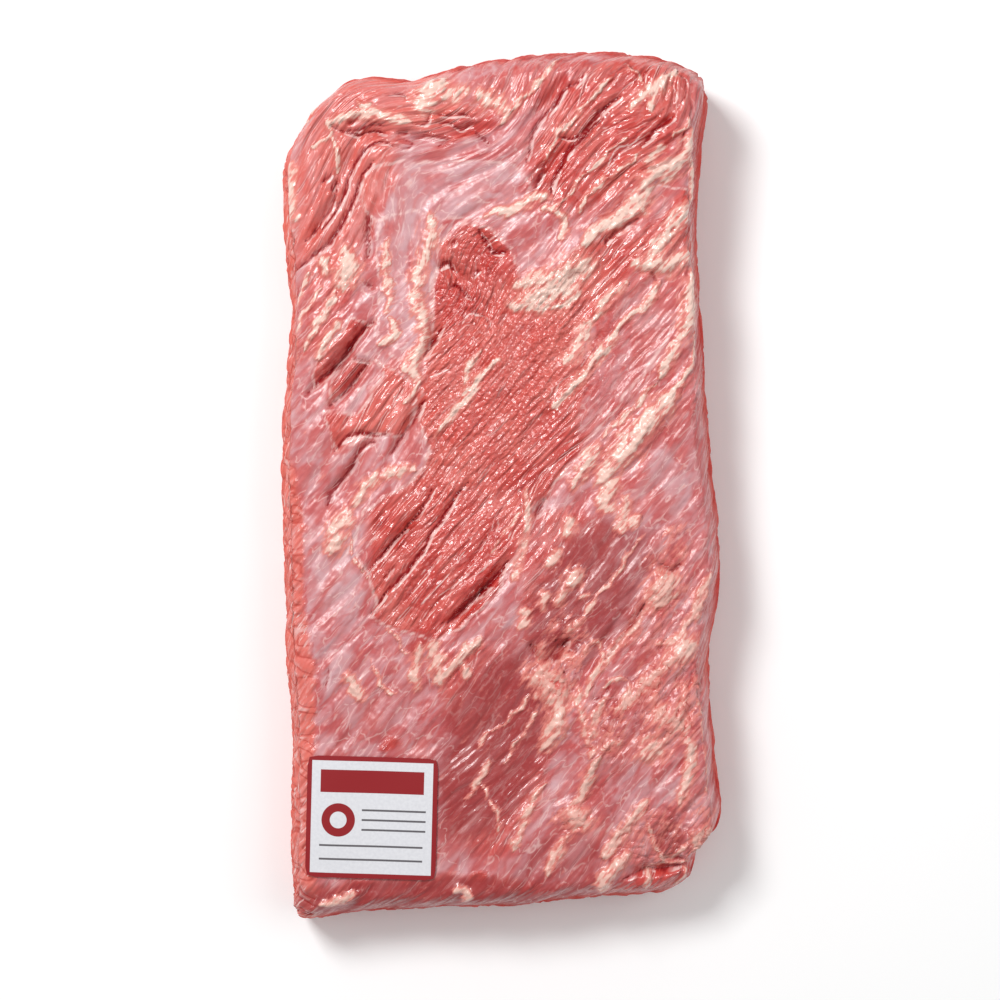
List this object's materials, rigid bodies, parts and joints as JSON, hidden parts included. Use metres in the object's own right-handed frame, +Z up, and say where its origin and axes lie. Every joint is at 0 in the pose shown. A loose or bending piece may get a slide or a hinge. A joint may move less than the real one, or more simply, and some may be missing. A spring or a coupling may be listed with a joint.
{
  "type": "raw beef brisket",
  "caption": "Long rectangular slab of raw beef with slanting muscle grain, streaks of fat and pale membrane, and a plain paper label lying near one corner.",
  "frame": {"origin": "centre of the footprint's bounding box, on the surface the meat lies on", "axes": "+Y along the meat towards its thicker, rounded end, +X across it, +Z up, away from the surface it lies on"},
  "size_m": [0.1818, 0.3566, 0.0495],
  "materials": {
    "raw_beef": "moist raw beef, coral red lean with cream fat and pale lilac membrane, satin to glossy",
    "label_paper": "smooth white label paper with a dark red border"
  },
  "bodies": {
    "root": {"brisket": "raw_beef", "label": "label_paper"}
  },
  "joints": []
}
